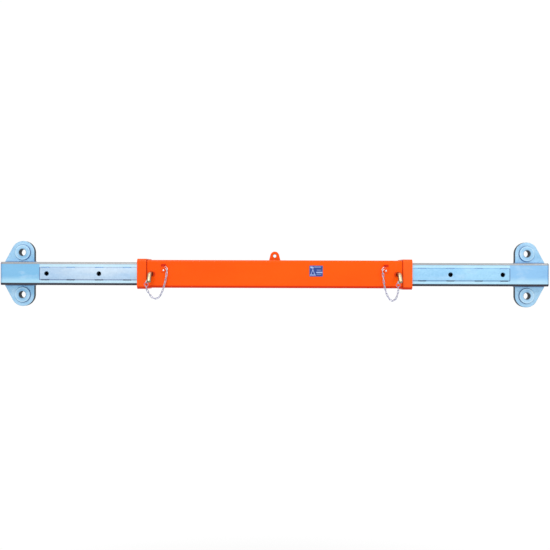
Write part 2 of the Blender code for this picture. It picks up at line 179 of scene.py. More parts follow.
# %% Signals and finishes
class Signal:
    """One output socket, with arithmetic."""

    def __init__(self, finish, socket):
        self.finish = finish
        self.socket = socket

    def math(self, operation, *others):
        settings = {"operation": operation}
        return self.finish.grow("ShaderNodeMath", settings, dict(enumerate((self, *others))))

    def also(self, name):
        return Signal(self.finish, self.socket.node.outputs[name])

    def __add__(self, other):
        return self.math("ADD", other)

    def __sub__(self, other):
        return self.math("SUBTRACT", other)

    def __mul__(self, other):
        return self.math("MULTIPLY", other)

    def __neg__(self):
        return self * -1.0

    def __rsub__(self, other):
        return -self + other

    __radd__ = __add__
    __rmul__ = __mul__

    def size(self):
        return self.math("ABSOLUTE")

    def lower(self, other):
        return self.math("MINIMUM", other)

    def higher(self, other):
        return self.math("MAXIMUM", other)

    def rise(self, start, end):
        """0 before start, 1 after end and a smooth step between them."""
        settings = {"interpolation_type": "SMOOTHSTEP"}
        return self.finish.grow("ShaderNodeMapRange", settings, {0: self, 1: start, 2: end, 3: 0.0, 4: 1.0})

    def fall(self, start, end):
        """1 before start, 0 after end and a smooth step between them."""
        return 1.0 - self.rise(start, end)

    def near(self, middle, full, none):
        """1 within full of a middle value and 0 beyond none."""
        return (self - middle).size().fall(full, none)


def distance(first, second):
    """How far a point is from the place where both signals are 0."""
    return (first * first + second * second).math("SQRT")


class Finish:
    """A material whose nodes are grown one expression at a time."""

    def __init__(self, name):
        self.material = bpy.data.materials.new(name)
        self.material.use_nodes = True
        self.tree = self.material.node_tree
        self.shader = self.tree.nodes["Principled BSDF"]
        self.place = self.grow("ShaderNodeTexCoord", {}, {}, "Object")
        split = self.grow("ShaderNodeSeparateXYZ", {}, {0: self.place}, "X")
        self.x, self.y, self.z = split, split.also("Y"), split.also("Z")

    def grow(self, kind, settings, sockets, out=0):
        """Add a node of a kind, set it up, feed its sockets with values or signals, and return one output."""
        node = self.tree.nodes.new(kind)
        for name, value in settings.items():
            setattr(node, name, value)
        for name, value in sockets.items():
            self.feed(node.inputs[name], value)
        return Signal(self, node.outputs[out])

    def feed(self, socket, value):
        if isinstance(value, Signal):
            self.tree.links.new(value.socket, socket)
        else:
            socket.default_value = value

    def noise(self, scale, detail=3.0, stretch=(1.0, 1.0, 1.0), rough=0.5):
        """Noise from 0 to 1 with an average of a half; stretch squeezes the pattern along an axis."""
        where = self.grow("ShaderNodeMapping", {}, {"Vector": self.place, "Scale": stretch})
        return self.grow("ShaderNodeTexNoise", {}, {"Vector": where, "Scale": scale, "Detail": detail,
                                                   "Roughness": rough})

    def blend(self, share, first, second):
        """The first colour where share is 0 and the second where it is 1."""
        node = self.tree.nodes.new("ShaderNodeMix")
        node.data_type = "RGBA"
        self.feed(node.inputs[0], share)
        self.feed(node.inputs[6], first if isinstance(first, Signal) else (*first, 1.0))
        self.feed(node.inputs[7], second if isinstance(second, Signal) else (*second, 1.0))
        return Signal(self, node.outputs[2])

    def coat(self, colour, roughness, metallic=0.0, height=None, depth=0.0, **fixed):
        """Connect the finished signals to the surface; fixed gives values for its other sockets."""
        self.feed(self.shader.inputs["Base Color"], colour if isinstance(colour, Signal) else (*colour, 1.0))
        self.feed(self.shader.inputs["Roughness"], roughness)
        self.feed(self.shader.inputs["Metallic"], metallic)
        for name, value in fixed.items():
            self.shader.inputs[name.replace("_", " ")].default_value = value
        if height is not None:
            bump = self.grow("ShaderNodeBump", {}, {"Strength": 1.0, "Distance": depth, "Height": height})
            self.feed(self.shader.inputs["Normal"], bump)
        return self.material


# %% [markdown]
# ## The floor
# The floor only has to be pale and quiet, so it is one flat sheet of matt grey-white, slightly mottled.

# %% Floor
floor_finish = Finish("pale_floor")
mottle = floor_finish.noise(2.0)
pale_floor = floor_finish.coat(floor_finish.blend(mottle, (0.80, 0.80, 0.80), (0.86, 0.86, 0.86)), 0.8)
floor_points = [(x, y, -2.0) for y in (-4.5, 1.6) for x in (-3.5, 3.5)]
floor_mesh = bpy.data.meshes.new("floor")
floor_mesh.from_pydata(floor_points, [], [(0, 1, 3, 2)])
floor_mesh.materials.append(pale_floor)
floor = bpy.data.objects.new("floor", floor_mesh)
bpy.context.scene.collection.objects.link(floor)
print("floor 2 m below the beam's axis")

# %% [markdown]
# ## From arrays to pieces
# Every shape below is an array of points with one row per outline and one column per point round it. A closed
# shape joins the last row to the first, like a doughnut, or closes its first and last rows with caps. Normals
# are then turned outwards once, for all shapes alike.


# %% Skin and piece helpers
SHARP = 32.0


def skin(rows, wrap):
    """Quads between neighbouring rows of a (rows, columns, 3) array; columns always close, rows if wrap."""
    count, around = rows.shape[:2]
    numbers = np.arange(count * around).reshape(count, around)
    if wrap:
        numbers = np.vstack([numbers, numbers[:1]])
    low, high = numbers[:-1], numbers[1:]
    quads = np.stack([low, np.roll(low, -1, 1), np.roll(high, -1, 1), high], -1).reshape(-1, 4).tolist()
    if not wrap:
        quads += [numbers[0].tolist(), numbers[-1].tolist()]
    return rows.reshape(-1, 3), quads


def join_shapes(shapes):
    """One point array and one face list from several."""
    points, faces, start = [], [], 0
    for shape_points, shape_faces in shapes:
        points.append(shape_points)
        faces += [[start + corner for corner in face] for face in shape_faces]
        start += len(shape_points)
    return np.vstack(points), faces


def closed_mesh(name, shapes):
    """One mesh from several shapes, with all normals turned outwards."""
    points, faces = join_shapes(shapes)
    mesh = bpy.data.meshes.new(name)
    mesh.from_pydata(points.tolist(), [], faces)
    work = bmesh.new()
    work.from_mesh(mesh)
    bmesh.ops.recalc_face_normals(work, faces=work.faces)
    work.to_mesh(mesh)
    work.free()
    return mesh


def full_turn(count):
    """Equally spaced angles round a circle."""
    return np.linspace(0.0, 2 * np.pi, count, endpoint=False)


def make_piece(name, shapes, finish, body, nodes=(), sharp=SHARP):
    """A mesh object at the origin from shapes, which rides on a body and stands for CAD nodes."""
    mesh = closed_mesh(name, shapes)
    mesh.materials.append(finish)
    mesh.shade_smooth()
    mesh.set_sharp_from_angle(angle=math.radians(sharp))
    made = bpy.data.objects.new(name, mesh)
    bpy.context.scene.collection.objects.link(made)
    if body:
        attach(made, body)
    if nodes:
        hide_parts(*nodes)
    return made


def bore(piece, holes, low_y, high_y, radius, flare=0.0):
    """Cut round holes along Y at (x, z) places, slightly flared at the front, and keep the plain mesh."""
    turns = full_turn(48)
    depths = np.array([low_y - 0.004, low_y, low_y + flare, high_y])
    radii = np.array([radius + flare, radius + flare, radius, radius])
    shapes = []
    for x, z in holes:
        rows = np.stack([x + radii[:, None] * np.cos(turns), np.broadcast_to(depths[:, None], (4, 48)),
                         z + radii[:, None] * np.sin(turns)], -1)
        shapes.append(skin(rows, False))
    mesh = closed_mesh("drill", shapes)
    drill = bpy.data.objects.new("drill", mesh)
    bpy.context.scene.collection.objects.link(drill)
    cut = piece.modifiers.new("cut", "BOOLEAN")
    cut.operation = "DIFFERENCE"
    cut.solver = "EXACT"
    cut.object = drill
    bpy.context.view_layer.update()
    result = bpy.data.meshes.new_from_object(piece.evaluated_get(bpy.context.evaluated_depsgraph_get()))
    piece.modifiers.remove(cut)
    piece.data = result
    result.shade_smooth()
    result.set_sharp_from_angle(angle=math.radians(SHARP))
    bpy.data.objects.remove(drill, do_unlink=True)
    bpy.data.meshes.remove(mesh)
    return piece


# %% [markdown]
# ## Three families of shape
# Almost everything on a fabricated beam is one of three things. A hollow section or a collar is an outline
# carried along X. A lug, a boss or a strip is a flat plate with eased edges. A pin, a ring, a chain link or a
# weld bead is a round section carried along a line. Each family is one formula.


# %% Outlines
def rounded_square(width, height, radius, steps=8):
    """Corner arcs of one radius, with a support point just beyond each arc so that the flats shade flat."""
    turns = np.radians(np.linspace(0.0, 90.0, steps + 1))
    arc = np.column_stack([np.cos(turns), np.sin(turns)]) * radius
    arc = np.vstack([arc[0] - (0.0, SUPPORT), arc, arc[-1] - (SUPPORT, 0.0)])
    corners = []
    for cosine, sine, right_sign, top_sign in ((1, 0, 1, 1), (0, 1, -1, 1), (-1, 0, -1, -1), (0, -1, 1, -1)):
        turn = np.array([[cosine, sine], [-sine, cosine]])
        corners.append(arc @ turn + (right_sign * (width / 2 - radius), top_sign * (height / 2 - radius)))
    return np.vstack(corners)


def eased_steps(reach, count=4):
    """Pairs (inset, rise) round a quarter circle of one radius, from the wall to the face."""
    turns = np.linspace(0.0, np.pi / 2, count)
    return [(reach * (1 - math.cos(t)), reach * (1 - math.sin(t))) for t in turns]


def section_along_x(width, radius, start, end, ease, hollow=0.0):
    """A square section carried along X with eased ends: solid, or a tube with a wall of that thickness."""
    steps = eased_steps(ease)
    rows = [(start + rise, inset) for inset, rise in reversed(steps)]
    rows += [(start + ease + SUPPORT, 0.0), (end - ease - SUPPORT, 0.0)]
    rows += [(end - rise, inset) for inset, rise in steps]
    if hollow:
        inside = eased_steps(min(ease, hollow / 3))
        rows += [(end - rise, hollow - inset) for inset, rise in reversed(inside)]
        rows += [(start + rise, hollow - inset) for inset, rise in inside]
    built = []
    for x, inset in rows:
        reach = width - 2 * inset
        outline = rounded_square(reach, reach, max(radius - inset, 0.0005))
        built.append(np.column_stack([np.full(len(outline), x), outline]))
    return skin(np.stack(built), bool(hollow))


# %% Plates
def plate_along_y(outer, inner, front, back, ease, hole_ease=0.0008):
    """A plate with one hole: matched outer and inner loops joined by a face, a bore and a face."""
    outward = outer - inner
    outward /= np.linalg.norm(outward, axis=1)[:, None]
    rim = outer - outward * (ease + SUPPORT)
    flat = inner + outward * (hole_ease + SUPPORT)
    mouth = inner + outward * hole_ease
    rows = [(outer - outward * inset, front + rise) for inset, rise in reversed(eased_steps(ease))]
    rows += [(outer - outward * inset, back - rise) for inset, rise in eased_steps(ease)]
    rows += [(rim, back), (flat, back), (mouth, back), (inner, back - hole_ease)]
    rows += [(inner, front + hole_ease), (mouth, front), (flat, front), (rim, front)]
    built = [np.column_stack([loop[:, 0], np.full(len(loop), y), loop[:, 1]]) for loop, y in rows]
    return skin(np.stack(built), True)


def flat_bar(outline, place, ease, thickness, axis_out, axis_up):
    """A solid plate: an outline raised by its thickness along axis_out, with eased edges."""
    outline = np.asarray(outline)
    middle = (outline.max(0) + outline.min(0)) / 2
    half = (outline.max(0) - outline.min(0)) / 2
    axis_x = np.array([1.0, 0.0, 0.0])
    rows = [(0.0, 0.0)] + [(thickness - rise, inset) for inset, rise in eased_steps(ease)]
    built = []
    for height, inset in rows:
        scaled = middle + (outline - middle) * (1 - inset / half)
        built.append(place + scaled[:, :1] * axis_x + scaled[:, 1:] * axis_up + height * np.asarray(axis_out))
    return skin(np.stack(built), False)


# %% Sweeps
def sweep(points, radii, sides, across, closed=False, flatten=1.0):
    """A round section carried along points, each ring turned to a direction across the line."""
    points = np.asarray(points, float)
    if closed:
        ahead = np.roll(points, -1, 0) - np.roll(points, 1, 0)
    else:
        ahead = np.gradient(points, axis=0)
    ahead /= np.linalg.norm(ahead, axis=1)[:, None]
    across = np.asarray(across, float)
    if across.ndim == 1:
        across = np.broadcast_to(across, points.shape)
    first = across - (across * ahead).sum(1)[:, None] * ahead
    first /= np.linalg.norm(first, axis=1)[:, None]
    second = np.cross(ahead, first)
    turns = full_turn(sides)
    radii = np.broadcast_to(np.asarray(radii, float), len(points))[:, None, None]
    ring = (np.cos(turns)[None, :, None] * first[:, None, :] * flatten
            + np.sin(turns)[None, :, None] * second[:, None, :])
    return skin(points[:, None, :] + radii * ring, closed)


def weld_bead(start, end, radius, outward, ripple=0.0035, flatten=0.8):
    """A round bead from start to end whose radius swells at each ripple and closes at both ends."""
    start, end = np.asarray(start, float), np.asarray(end, float)
    length = np.linalg.norm(end - start)
    count = max(12, int(length / ripple * 6))
    share = np.linspace(0.0, 1.0, count)
    wave = 1 + 0.10 * np.abs(np.sin(np.pi * share * length / ripple)) - 0.05
    taper = np.sqrt(np.clip(1 - (2 * share - 1) ** 16, 0.02, 1))
    return sweep(start + share[:, None] * (end - start), radius * wave * taper, 10, outward, flatten=flatten)


print("shape helpers ready")

# %% [markdown]
# ## Orange enamel
# The outer tube, its collars and its small fittings are sprayed with gloss enamel after welding. It pulls
# into a faint orange peel and picks up pale scuffs where straps rub. Noises give the tone, the peel and
# the scuffs. The rest is painted shade placed by distance: a deeper orange along the top edge, a dark band
# along the lower edge, a painted shadow beside each pin hole and a dark ring round the small eye's bore.


# %% Orange enamel
def orange_enamel(name, deep, bright, half_height, shaded_above=1.0):
    """Enamel whose colour wanders from deep to bright and is lightly scuffed, with painted shade at the top
    and lower edges, beside the pins, round the small eye and above a given height.
    """
    finish = Finish(name)
    broad = finish.noise(6.0, 3.0, (0.4, 1.0, 1.0))
    fine = finish.noise(70.0, 4.0)
    tone = finish.blend((broad * 0.8 + fine * 0.2).rise(0.3, 0.7), deep, bright)
    # Painted shadow: a dark red blob on the front face beside each pin, on the side towards the middle.
    pin_hole_shadow = distance((finish.x.size() - 0.5200) * 1.4, finish.z + 0.001)
    pin_hole_shadow = pin_hole_shadow.fall(0.0080, 0.0150) * (-finish.y).rise(0.020, 0.040)
    tone = finish.blend(pin_hole_shadow * 0.65, tone, (0.55, 0.012, 0.002))
    # Painted shade: a dark ring round the small eye, standing for the shade in its bore.
    rim = distance(finish.x - SMALL_EYE[0], finish.z - SMALL_EYE[1]).fall(0.0086, 0.0104)
    tone = finish.blend(rim * 0.85, tone, (0.24, 0.030, 0.008))
    # Painted shade: a deeper, darker orange along the top corner.
    top_edge_shade = finish.z.rise(half_height - 0.0070, half_height - 0.0010) * finish.z.fall(0.070, 0.072)
    tone = finish.blend(top_edge_shade * 0.70, tone, (0.66, 0.085, 0.003))
    # Painted shade: a dark red band along the lower corner.
    lower_edge_shade = (-finish.z).rise(half_height - 0.0125, half_height - 0.0080)
    tone = finish.blend(lower_edge_shade * 0.90, tone, (0.66, 0.026, 0.001))
    tone = finish.blend(finish.z.rise(shaded_above, shaded_above + 0.004) * 0.85, tone, (0.56, 0.012, 0.003))
    rub = finish.noise(34.0, 7.0, (0.18, 1.0, 1.6), 0.62).rise(0.655, 0.70)
    tone = finish.blend(rub * 0.16, tone, (0.98, 0.30, 0.12))
    peel = finish.noise(380.0, 2.0)
    return finish.coat(tone, fine * 0.12 + rub * 0.15 + 0.26, 0.0, peel + rub * 0.3, 0.00004,
                       Specular_IOR_Level=0.10, Coat_Weight=0.03, Coat_Roughness=0.08)


enamel_tube = orange_enamel("orange_enamel_tube", (0.97, 0.086, 0.0005), (1.0, 0.103, 0.001), TUBE_HALF)
enamel_collar = orange_enamel("orange_enamel_collar", (0.94, 0.092, 0.004), (1.0, 0.120, 0.012), COLLAR_HALF)
# The bracket's enamel turns dark above 29 mm: painted shadow under the ear.
enamel_bracket = orange_enamel("orange_enamel_bracket", (0.92, 0.078, 0.001), (0.98, 0.094, 0.003),
                               COLLAR_HALF, 0.029)
# A dark copy of the enamel: painted shade for the collar welds.
enamel_shaded_weld = orange_enamel("orange_enamel_shaded_weld", (0.42, 0.016, 0.002), (0.56, 0.026, 0.003), COLLAR_HALF)
print("four batches of enamel")

# %% [markdown]
# ## Galvanised steel
# The arms are dipped in molten zinc, which freezes in flat crystals, the spangle, each with its own
# brightness. A Voronoi pattern gives the crystals. The round corners get a painted grey reflection and the
# lower ones painted dark shade; the strip edges and the outer ends get painted shade too. The corners are
# the places where the distance from the axis is large both across and up.


# %% Galvanised steel
def zinc_skin(name, cool, pale):
    """Spangle and lengthwise streaks: the finish, its colour, its roughness and its height."""
    finish = Finish(name)
    cells = {"Vector": finish.place, "Scale": 120.0}
    flakes = finish.grow("ShaderNodeTexVoronoi", {"feature": "F1"}, cells, "Color")
    edges = finish.grow("ShaderNodeTexVoronoi", {"feature": "DISTANCE_TO_EDGE"}, cells, "Distance")
    streaks = finish.noise(9.0, 4.0, (0.35, 1.0, 2.2))
    clouds = finish.noise(3.2, 2.0)
    tone = finish.blend((streaks * 0.6 + clouds * 0.5).rise(0.42, 0.68), cool, pale)
    tone = finish.blend(flakes * 0.10, tone, (0.80, 0.92, 1.0))
    tone = finish.blend((1.0 - flakes) * 0.12, tone, (0.16, 0.26, 0.38))
    worn = finish.noise(55.0, 6.0, (0.3, 1.0, 1.0), 0.6).rise(0.64, 0.72)
    tone = finish.blend(worn * 0.22, tone, (0.26, 0.33, 0.42))
    roughness = flakes * 0.10 + streaks * 0.12 + 0.34
    return finish, tone, roughness, edges.rise(0.0, 0.10) * 0.4 + streaks


def zinc_arm_finish(name, cool, pale, end_colour):
    """Zinc on an arm: cooler beyond the strips, painted shade along their edges and at the outer end, a
    painted grey reflection on the round corners and painted dark shade on the lower ones.
    """
    finish, tone, roughness, height = zinc_skin(name, cool, pale)
    run, rise = finish.x.size(), finish.z.size()
    beyond = run.rise(STRIP_END, STRIP_END + 0.004)
    tone = finish.blend(beyond * 0.85, tone, end_colour)
    beside = 1.0 - beyond
    patches = finish.noise(16.0, 5.0, (0.5, 1.0, 1.0), 0.55)
    tone = finish.blend(patches.rise(0.54, 0.66) * 0.30, tone, (0.62, 0.80, 0.96))
    tone = finish.blend(patches.rise(0.46, 0.34) * 0.16, tone, (0.20, 0.42, 0.72))
    below = (-finish.z).rise(-0.002, 0.002)
    clean = beside * rise.rise(0.028, 0.031) * rise.fall(0.038, 0.041)
    clean = clean.higher(below * beyond * rise.rise(0.008, 0.034) * 0.9)
    tone = finish.blend(clean * 0.60, tone, (0.60, 0.88, 0.98))
    # Painted shade: dark lines along the strips' edges, stronger below, and across their ends.
    crevice = rise.near(0.0264, 0.0010, 0.0028) * run.fall(STRIP_END, STRIP_END + 0.003)
    across_end = run.near(STRIP_END + 0.0016, 0.0012, 0.0030) * rise.fall(0.026, 0.028)
    dirt_and_shade = (crevice * (below * 0.25 + 0.25)).higher(across_end * 0.85) * finish.y.size().rise(0.0485, 0.0495)
    tone = finish.blend(dirt_and_shade, tone, (0.06, 0.10, 0.28))
    # Painted reflection: the round corners turn grey-beige, standing for the room seen in them.
    corner = finish.y.size().lower(rise).rise(0.0395, 0.0425)
    tone = finish.blend(corner * 0.92, tone, (0.36, 0.345, 0.335))
    # Painted shade: the lower round corners turn nearly black.
    lower_corner_shade = finish.y.size().rise(0.036, 0.040) * (-finish.z).rise(0.0390, 0.0415)
    tone = finish.blend(lower_corner_shade * 0.95, tone, (0.035, 0.034, 0.050))
    # Painted shade: the outer end of the arm and its end plate darken.
    tone = finish.blend(run.rise(1.1755, 1.1790) * 0.80, tone, (0.08, 0.12, 0.20))
    return finish.coat(tone, roughness, 0.72, height, 0.00012)


def zinc_plate_finish(name, cool, pale):
    """Zinc on a lug or boss: matt and dark on its flame-cut edge, with painted shade in the eye, round the
    boss and round the hole's mouth, and a painted highlight ring on the boss face.
    """
    finish, tone, roughness, height = zinc_skin(name, cool, pale)
    reach = distance(finish.x.size() - EYE[0], finish.z.size() - EYE[1])
    edge = finish.y.size().fall(0.0092, 0.0098) * reach.rise(0.032, 0.034)
    # Painted shade inside the eye; the flame-cut edge is rough and dark in its own right.
    inside = reach.fall(EYE_HOLE + 0.0004, EYE_HOLE + 0.0014)
    dull_edge_and_bore_shade = edge.higher(inside)
    mill = finish.noise(160.0, 5.0, (1.0, 0.25, 1.0))
    patches = finish.noise(22.0, 5.0, (1.0, 1.0, 1.0), 0.55)
    tone = finish.blend(patches.rise(0.52, 0.64) * 0.38, tone, (0.58, 0.78, 0.95))
    tone = finish.blend(patches.rise(0.47, 0.35) * 0.25, tone, (0.14, 0.30, 0.60))
    # Painted shade: a dark ring where the boss meets the plate.
    ring = reach.near(0.0338, 0.0005, 0.0020)
    tone = finish.blend(ring * 0.60, tone, (0.07, 0.13, 0.26))
    # Painted highlight: a pale ring on the boss face near its edge.
    boss_edge_highlight = reach.near(0.0300, 0.0010, 0.0026) * finish.y.size().rise(0.012, 0.014)
    tone = finish.blend(boss_edge_highlight * 0.45, tone, (0.66, 0.86, 0.96))
    tone = finish.blend(dull_edge_and_bore_shade * 0.93, tone, (0.050, 0.044, 0.042))
    # Painted shade: a darker ring just outside the eye's hole.
    hole_lip_shade = reach.rise(EYE_HOLE + 0.0008, EYE_HOLE + 0.0020) * reach.fall(EYE_HOLE + 0.0026, EYE_HOLE + 0.0050)
    tone = finish.blend(hole_lip_shade * 0.35, tone, (0.12, 0.20, 0.32))
    return finish.coat(tone, roughness + dull_edge_and_bore_shade * 0.2, 0.72, height + dull_edge_and_bore_shade * mill, 0.00014)


def zinc_bead_finish(name, bright, dark):
    """Zinc over weld metal: greyer than the plate, with painted shade where it faces down beside a strip."""
    finish, tone, roughness, height = zinc_skin(name, bright, bright)
    # Painted shade: the beads below the axis darken, facing down beside a strip.
    below = (-finish.z).rise(0.010, 0.020)
    tone = finish.blend(below * 0.95 * finish.z.size().fall(0.028, 0.032), tone, dark)
    return finish.coat(tone, roughness + 0.08, 0.65, height, 0.00014)


zinc_arms = {"left": zinc_arm_finish("galvanised_left", (0.41, 0.61, 0.84), (0.62, 0.76, 0.90),
                                     (0.185, 0.51, 0.81)),
             "right": zinc_arm_finish("galvanised_right", (0.31, 0.63, 0.92), (0.38, 0.71, 0.96),
                                      (0.28, 0.55, 0.86))}
zinc_plate = zinc_plate_finish("galvanised_plate", (0.25, 0.54, 0.81), (0.40, 0.68, 0.92))
zinc_bead = zinc_bead_finish("galvanised_bead", (0.17, 0.32, 0.56), (0.010, 0.016, 0.08))
zinc_fillet = zinc_bead_finish("galvanised_fillet", (0.13, 0.22, 0.40), (0.10, 0.16, 0.30))
print("zinc for arms, plates and weld beads")

# %% [markdown]
# ## Small metal parts
# The pins are zinc plated and then dipped in a yellow passivate, which leaves a cream colour with a faint
# rainbow. The chain, the loops and the rings are plain bright zinc with dirt in the hollows of the plating.
# The rivets are aluminium. Each is a metal whose colour and roughness wander with noise.


# %% Pins, chain and rivets
def plated(name, first, second, dirt_and_shade, scale, roughness, metallic, bar=False):
    """Plated metal of two wandering colours with darker specks; a bar also gets painted shade on its sides,
    its end and near the tube.
    """
    finish = Finish(name)
    drift = finish.noise(scale, 3.0)
    grain = finish.noise(scale * 9.0, 4.0)
    specks = finish.noise(scale * 5.0, 8.0, rough=0.65).rise(0.60, 0.74)
    tone = finish.blend(drift.rise(0.35, 0.65), first, second)
    tone = finish.blend(specks * 0.5, tone, dirt_and_shade)
    # Painted shade on a pin bar: its flanks, its handle's end face and its part near the tube darken.
    if bar:
        flank_shade = (finish.x.size() - PIN_STATION).size().rise(0.0050, 0.0084)
        end = (finish.y * -0.5 - finish.z * 0.866).rise(0.0788, 0.0800)
        root_shade = finish.y.rise(-0.0760, -0.0660)
        tone = finish.blend((flank_shade * 0.75).higher(end * 0.60).higher(root_shade * 0.85), tone, dirt_and_shade * 0.5)
    return finish.coat(tone, grain * 0.15 + specks * 0.2 + roughness, metallic, grain, 0.00003)


yellow_zinc = plated("yellow_zinc", (0.70, 0.62, 0.40), (0.60, 0.44, 0.26), np.array([0.20, 0.12, 0.06]),
                     60.0, 0.24, 0.85, True)
bright_zinc = plated("bright_zinc", (0.40, 0.44, 0.58), (0.66, 0.68, 0.82), (0.05, 0.05, 0.09), 90.0, 0.18,
                     0.70)
ring_zinc = plated("ring_zinc", (0.14, 0.21, 0.38), (0.28, 0.37, 0.56), (0.04, 0.04, 0.08), 90.0, 0.26, 0.25)
rivet_metal = plated("rivet_metal", (0.88, 0.88, 0.90), (0.78, 0.78, 0.82), (0.3, 0.3, 0.3), 120.0, 0.22, 0.9)

# %% [markdown]
# ## The label
# A rating plate needs print, but it must not carry words. This one shows a small pictogram instead: two sling
# legs that stand on a beam as a closed triangle, a stem above them, a plain block and bars of several widths.
# Each stroke is a formula: the distance from a point to a segment, compared with half the stroke's width.


# %% Label film
def stroke(finish, u, v, start, end, width):
    """1 within half a width of the segment from start to end, and 0 outside, with soft edges."""
    dx, dy = end[0] - start[0], end[1] - start[1]
    along_segment = ((u - start[0]) * dx + (v - start[1]) * dy) * (1.0 / (dx * dx + dy * dy))
    share = along_segment.higher(0.0).lower(1.0)
    away = distance((u - start[0]) - share * dx, (v - start[1]) - share * dy)
    return away.fall(width * 0.38, width * 0.62)


def label_film(centre_x, centre_z, half_width, half_height):
    """Blue film with a pale border and a pale pictogram, in millimetres from the label's middle."""
    finish = Finish("label_film")
    u = (finish.x - centre_x) * 1000.0
    v = (finish.z - centre_z) * 1000.0
    marks = stroke(finish, u, v, (-22.0, 16.0), (-14.0, 14.5), 7.0)
    for start, end, width in (((-22.0, -15.0), (-14.0, 6.0), 2.2), ((-14.0, 6.0), (-6.0, -15.0), 2.2),
                              ((-25.0, -17.0), (-3.0, -17.0), 3.6), ((-14.0, 5.0), (-14.0, 12.0), 1.8),
                              ((-7.0, 17.0), (20.0, 17.0), 2.4),
                              ((3.0, 4.0), (21.0, 4.0), 1.6), ((3.0, -6.0), (25.0, -6.0), 5.0),
                              ((3.0, -14.0), (22.0, -14.0), 1.6)):
        marks = marks.higher(stroke(finish, u, v, start, end, width))
    border = (u.size() - (half_width * 1000 - 2.2)).higher(v.size() - (half_height * 1000 - 2.2))
    marks = marks.higher(border.size().fall(0.3, 0.7) * 0.45)
    print_wear = finish.noise(240.0, 5.0).rise(0.25, 0.5)
    film = finish.blend(finish.noise(40.0, 3.0), (0.016, 0.044, 0.22), (0.028, 0.066, 0.29))
    tone = finish.blend(marks * (print_wear * 0.40 + 0.5), film, (0.42, 0.54, 0.88))
    return finish.coat(tone, print_wear * 0.1 + 0.34, 0.0, marks + finish.noise(300.0), 0.00003,
                       Specular_IOR_Level=0.3)


label_low, label_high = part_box("rating_label")
label_middle = (np.array(label_low) + np.array(label_high)) / 2
label_half = (np.array(label_high) - np.array(label_low)) / 2
film = label_film(label_middle[0], label_middle[2], label_half[0], label_half[2])
print("label", (2000 * label_half[[0, 2]]).round(1), "mm")

# %% [markdown]
# ## The pin chains
# A chain hangs from the ring on each pin up to a bracket on the tube. Each link is an oval of round wire, and
# each passes through its neighbours, so it is turned a quarter turn from them. The route is one smooth curve
# through listed points. It is divided into equal steps, and a link spans each step, longer than it by
# one wire so that it reaches round its neighbour. The last link, through the bracket's hole, is a piece of
# its own.

# %% Chain routes
CHAIN_WIDTH = 0.0095
LINK_WIRE = 0.0030
LINKS = 16
LEFT_ROUTE = [
    (-0.5416, -0.1056, -0.0562), (-0.5400, -0.1046, -0.0640), (-0.5338, -0.1013, -0.0775),
    (-0.5252, -0.0974, -0.0915), (-0.5150, -0.0925, -0.1024), (-0.5020, -0.0866, -0.1060),
    (-0.4902, -0.0814, -0.0976), (-0.4822, -0.0780, -0.0831), (-0.4756, -0.0753, -0.0652),
    (-0.4700, -0.0733, -0.0438), (-0.4655, -0.0718, -0.0243), (-0.4626, -0.0706, -0.0063),
    (-0.4606, -0.0696, 0.0085), (-0.4596, -0.0689, 0.0165), (-0.4612, -0.0686, 0.0218),
]
RIGHT_ROUTE = [
    (0.5205, -0.1056, -0.0562), (0.5212, -0.1046, -0.0640), (0.5206, -0.1012, -0.0770),
    (0.5170, -0.0974, -0.0926), (0.5108, -0.0928, -0.1062), (0.4997, -0.0872, -0.1122),
    (0.4890, -0.0822, -0.1052), (0.4810, -0.0786, -0.0920), (0.4748, -0.0758, -0.0760),
    (0.4700, -0.0736, -0.0570), (0.4664, -0.0720, -0.0357), (0.4638, -0.0708, -0.0114),
    (0.4616, -0.0696, 0.0075), (0.4600, -0.0689, 0.0165), (0.4612, -0.0686, 0.0218),
]
HOLE_REST = (0.4690, -0.0685, 0.0302)
RING_CONTACT_Z = -0.0521
MOST_SWING = np.radians(38.0)


def smooth_line(knots, fine=20):
    """Catmull-Rom curve: each span blends its two end points and their neighbours with cubic weights."""
    knots = np.asarray(knots, float)
    padded = np.vstack([2 * knots[0] - knots[1], knots, 2 * knots[-1] - knots[-2]])
    t = (np.arange(fine) / fine)[None, :, None]
    p0, p1, p2, p3 = (padded[i:len(padded) - 3 + i][:, None, :] for i in range(4))
    spans = 0.5 * (2 * p1 + (p2 - p0) * t + (2 * p0 - 5 * p1 + 4 * p2 - p3) * t ** 2
                   + (3 * p1 - p0 - 3 * p2 + p3) * t ** 3)
    return np.vstack([spans.reshape(-1, 3), knots[-1]])


def even_points(line, count):
    """Points at equal distances along a line."""
    steps = np.linalg.norm(np.diff(line, axis=0), axis=1)
    run = np.concatenate([[0.0], np.cumsum(steps)])
    wanted = np.linspace(0.0, run[-1], count)
    return np.column_stack([np.interp(wanted, run, line[:, axis]) for axis in range(3)]), run[-1]


def oval_line(centre, half_length, half_width, ahead, wide, count=40):
    """A closed oval: two half circles joined by straight sides."""
    angles = full_turn(count)
    straight = half_length - half_width
    u = half_width * np.cos(angles) + straight * np.sign(np.cos(angles))
    v = half_width * np.sin(angles)
    return centre + u[:, None] * ahead + v[:, None] * wide


def link_shape(start, end, turn):
    """An oval wire link from start to end; turn is its angle about its own length, 0 facing the front."""
    centre, gap = (start + end) / 2, np.linalg.norm(end - start)
    ahead = (end - start) / gap
    side = np.cross(ahead, (0.0, 1.0, 0.0))
    side /= np.linalg.norm(side)
    depth = np.cross(side, ahead)
    wide = math.cos(turn) * side + math.sin(turn) * depth
    line = oval_line(centre, (gap + LINK_WIRE) / 2, (CHAIN_WIDTH - LINK_WIRE) / 2, ahead, wide, 28)
    return sweep(line, LINK_WIRE / 2, 10, np.cross(ahead, wide), True)


